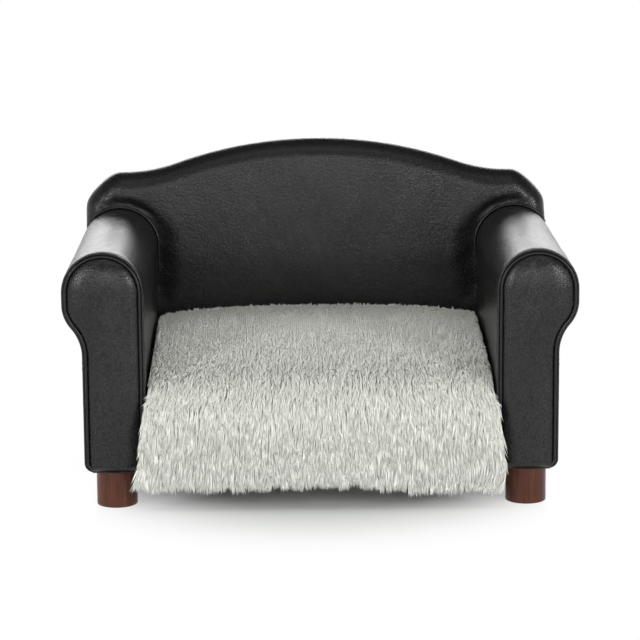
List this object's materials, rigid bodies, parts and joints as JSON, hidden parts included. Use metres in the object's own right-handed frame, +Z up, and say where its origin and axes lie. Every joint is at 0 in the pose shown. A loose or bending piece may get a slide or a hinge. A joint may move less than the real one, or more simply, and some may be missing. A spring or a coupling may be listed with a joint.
{
  "type": "dog bed",
  "caption": "Small camelback sofa for a dog, with rolled arms, short round legs and a loose seat cushion whose shag cover hangs over the front.",
  "frame": {"origin": "on the floor under the middle of the whole sofa's box", "axes": "+X across the sofa, to the right as seen from its front; +Y to the rear; +Z up"},
  "size_m": [0.64, 0.4609, 0.412],
  "materials": {
    "black_leather": "grained, satin",
    "piping_leather": "smooth, satin",
    "leg_wood": "stained and lacquered",
    "frame_wood": "raw",
    "former_card": "raw",
    "foam": "open-cell foam",
    "zinc_steel": "zinc plated",
    "dust_cloth": "nonwoven",
    "shag_pile": "long shag pile",
    "base_cloth": "woven",
    "zip_tape": "woven tape with moulded teeth",
    "zip_metal": "nickel"
  },
  "bodies": {
    "frame": {"arm_base_board_left": "frame_wood", "arm_base_board_right": "frame_wood", "arm_cover_left": "black_leather", "arm_cover_right": "black_leather", "arm_front_board_left": "frame_wood", "arm_front_board_right": "frame_wood", "arm_front_cover_left": "black_leather", "arm_front_cover_right": "black_leather", "arm_front_padding_left": "foam", "arm_front_padding_right": "foam", "arm_inner_board_left": "frame_wood", "arm_inner_board_right": "frame_wood", "arm_outer_board_left": "frame_wood", "arm_outer_board_right": "frame_wood", "arm_padding_left": "foam", "arm_padding_right": "foam", "arm_piping_left": "piping_leather", "arm_piping_right": "piping_leather", "arm_rear_board_left": "frame_wood", "arm_rear_board_right": "frame_wood", "arm_roll_former_left": "former_card", "arm_roll_former_right": "former_card", "arm_top_rail_left": "frame_wood", "arm_top_rail_right": "frame_wood", "back_bottom_rail": "frame_wood", "back_padding": "foam", "back_panel": "frame_wood", "back_post_left": "frame_wood", "back_post_right": "frame_wood", "back_welt_left": "piping_leather", "back_welt_right": "piping_leather", "dust_cover": "dust_cloth", "frame_screws": "zinc_steel", "hanger_bolts": "zinc_steel", "inside_back_cover": "black_leather", "leg_front_left": "leg_wood", "leg_front_right": "leg_wood", "leg_rear_left": "leg_wood", "leg_rear_right": "leg_wood", "outside_back_cover": "black_leather", "platform_cover": "black_leather", "seat_deck": "frame_wood", "seat_front_rail": "frame_wood", "seat_rear_rail": "frame_wood", "seat_side_rail_left": "frame_wood", "seat_side_rail_right": "frame_wood", "t_nuts": "zinc_steel"},
    "cushion": {"cushion_core": "foam", "cushion_base": "base_cloth", "shag_cover": "shag_pile", "zip_strip": "zip_tape"},
    "zip": {"zip_slider": "zip_metal"}
  },
  "joints": [
    {"name": "cushion_lift", "type": "slide", "parent": "frame", "child": "cushion", "axis": [0, 0, 1], "range_m": [0, 0.3]},
    {"name": "zip_slide", "type": "slide", "parent": "cushion", "child": "zip", "axis": [1, 0, 0], "range_m": [0, 0.27]}
  ]
}
